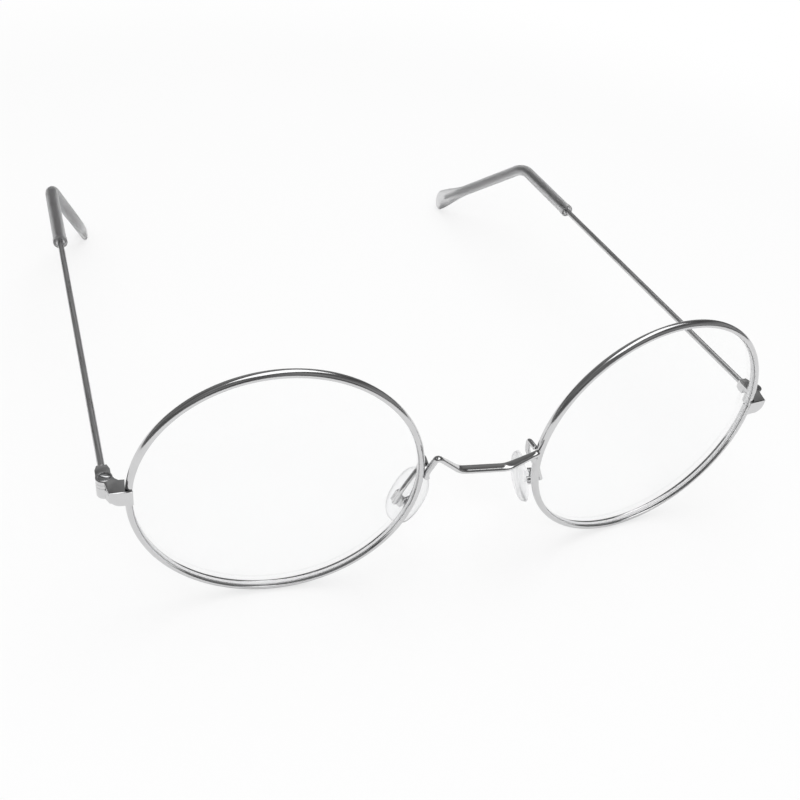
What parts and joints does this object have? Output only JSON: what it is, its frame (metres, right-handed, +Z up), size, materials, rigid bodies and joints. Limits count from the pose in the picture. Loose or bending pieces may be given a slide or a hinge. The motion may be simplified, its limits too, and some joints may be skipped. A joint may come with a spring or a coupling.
{
  "type": "round wire costume glasses",
  "caption": "Round wire costume glasses with grooved eyewires, a bent strip bridge, folding wire temples with clear tips, and rocking nose pads.",
  "frame": {"origin": "on the surface that the glasses stand on, in the middle of their width and depth", "axes": "+X to the wearer's left, +Y from the front to the ears, +Z up; the front leans forward by 1.2 degrees so that both eyewires and the right tip stand on the surface, with the left tip about 1 mm above it"},
  "size_m": [0.137, 0.1476, 0.0531],
  "materials": {
    "polished_metal": "polished plating with fine drawing marks",
    "screw_steel": "turned and slotted",
    "clear_lens": "clear and glossy",
    "clear_tip": "clear greyish plastic, smooth",
    "soft_pad": "clear soft plastic, satin"
  },
  "bodies": {
    "front": {"bridge": "polished_metal", "right_eyewire": "polished_metal", "right_lens": "clear_lens", "right_endpiece": "polished_metal", "right_closing_block": "polished_metal", "right_closing_screw": "screw_steel", "right_hinge_screw": "screw_steel", "right_pad_arm": "polished_metal", "right_pad_box": "polished_metal", "right_pad_screw": "screw_steel", "left_eyewire": "polished_metal", "left_lens": "clear_lens", "left_endpiece": "polished_metal", "left_closing_block": "polished_metal", "left_closing_screw": "screw_steel", "left_hinge_screw": "screw_steel", "left_pad_arm": "polished_metal", "left_pad_box": "polished_metal", "left_pad_screw": "screw_steel"},
    "right_temple": {"right_temple_leaf": "polished_metal", "right_temple_wire": "polished_metal", "right_temple_tip": "clear_tip"},
    "right_pad": {"right_nose_pad": "soft_pad"},
    "left_temple": {"left_temple_leaf": "polished_metal", "left_temple_wire": "polished_metal", "left_temple_tip": "clear_tip"},
    "left_pad": {"left_nose_pad": "soft_pad"}
  },
  "joints": [
    {"name": "right_temple_fold", "type": "hinge", "parent": "front", "child": "right_temple", "pos_m": [-0.06707, -0.06213, 0.02819], "axis": [0, 0.0202, -0.9998], "range_deg": [-1.5, 75.5]},
    {"name": "right_pad_rock", "type": "hinge", "parent": "front", "child": "right_pad", "pos_m": [-0.01361, -0.06753, 0.01858], "axis": [-0.4353, 0.8792, 0.1937], "range_deg": [-8, 8]},
    {"name": "left_temple_fold", "type": "hinge", "parent": "front", "child": "left_temple", "pos_m": [0.06707, -0.06211, 0.02699], "axis": [0, -0.0202, 0.9998], "range_deg": [-5, 83.5]},
    {"name": "left_pad_rock", "type": "hinge", "parent": "front", "child": "left_pad", "pos_m": [0.01361, -0.06753, 0.01858], "axis": [0.4353, 0.8792, 0.1937], "range_deg": [-8, 8]}
  ]
}
